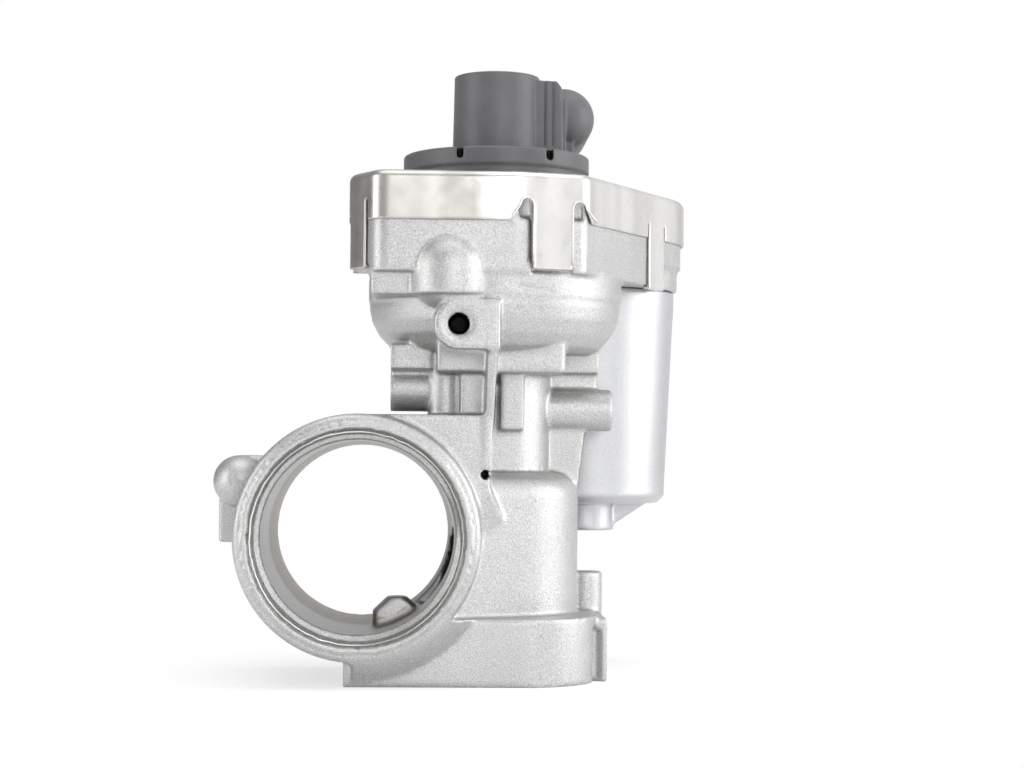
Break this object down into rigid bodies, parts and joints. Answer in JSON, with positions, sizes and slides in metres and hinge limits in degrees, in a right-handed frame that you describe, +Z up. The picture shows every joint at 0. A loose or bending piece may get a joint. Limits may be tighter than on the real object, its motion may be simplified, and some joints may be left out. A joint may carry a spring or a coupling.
{
  "type": "egr valve",
  "caption": "Electric exhaust gas recirculation valve: cast body with a round air pipe, poppet valve, gear case, motor can and position sensor.",
  "frame": {"origin": "centre of the gas inlet in the base's bottom face", "axes": "+Z up along the valve stem, -Y towards the air pipe's front mouth, +X right towards the motor"},
  "size_m": [0.1589, 0.1215, 0.1951],
  "materials": {
    "cast_alloy": "sand-textured casting",
    "can_alloy": "fine die casting",
    "cover_steel": "bright stamped sheet",
    "black_nylon": "satin moulding",
    "gasket_rubber": "matt",
    "tinned_brass": "bright",
    "copper": "enamelled",
    "board_green": "satin",
    "nylon_white": "satin",
    "nylon_gear": "glass-filled, satin",
    "motor_steel": "zinc plated",
    "ferrite": "sintered",
    "core_steel": "stacked sheets",
    "carbon": "graphite",
    "ground_steel": "ground",
    "bronze": "sintered",
    "zinc_steel": "zinc plated",
    "valve_steel": "turned",
    "spring_steel": "drawn wire"
  },
  "bodies": {
    "housing": {"valve_body": "cast_alloy", "motor_can": "can_alloy", "gear_cover": "cover_steel", "sensor_housing": "black_nylon", "cover_gasket": "gasket_rubber", "sensor_seal": "gasket_rubber", "connector_pins": "tinned_brass", "sensor_coil": "copper", "sensor_board": "board_green", "motor_case": "motor_steel", "motor_magnets": "ferrite", "motor_brushes": "carbon", "brush_holder": "black_nylon", "motor_end_plate": "motor_steel", "motor_bushes": "bronze", "motor_screws": "zinc_steel", "can_screws": "zinc_steel", "idler_axle": "ground_steel", "guide_sleeve": "ground_steel", "gear_clip": "zinc_steel", "valve_seat": "valve_steel", "stem_guide": "bronze", "stem_seal": "gasket_rubber", "return_spring": "spring_steel"},
    "output": {"output_gear": "nylon_gear", "gear_bush": "bronze"},
    "idler": {"idler_gear": "nylon_white"},
    "rotor": {"motor_shaft": "ground_steel", "motor_armature": "core_steel", "motor_windings": "copper", "motor_commutator": "copper", "motor_pinion": "bronze"},
    "valve": {"valve_stem": "ground_steel", "valve_head": "valve_steel", "drive_pin": "ground_steel", "spring_retainer": "zinc_steel", "sensor_plunger": "nylon_white"}
  },
  "joints": [
    {"name": "gear_turn", "type": "hinge", "parent": "housing", "child": "output", "pos_m": [0, 0, 0.1315], "axis": [0, 0, 1], "range_deg": [0, 90]},
    {"name": "idler_turn", "type": "hinge", "parent": "housing", "child": "idler", "pos_m": [0.01934, 0.02423, 0.1315], "axis": [0, 0, 1], "range_deg": [-375, 0]},
    {"name": "motor_turn", "type": "hinge", "parent": "housing", "child": "rotor", "pos_m": [0.03275, 0.04103, 0.1], "axis": [0, 0, 1], "range_deg": [0, 968.75]},
    {"name": "valve_slide", "type": "slide", "parent": "housing", "child": "valve", "axis": [0, 0, -1], "range_m": [0, 0.007], "stiffness_N_per_m": 2500, "springref_m": -0.006, "deforming": ["return_spring"]}
  ],
  "couplings": [
    {"joint": "idler_turn", "follows": "gear_turn", "ratio": -4.1667},
    {"joint": "motor_turn", "follows": "gear_turn", "ratio": 10.764},
    {"joint": "valve_slide", "follows": "gear_turn", "m_per_rad": 0.0044563}
  ]
}
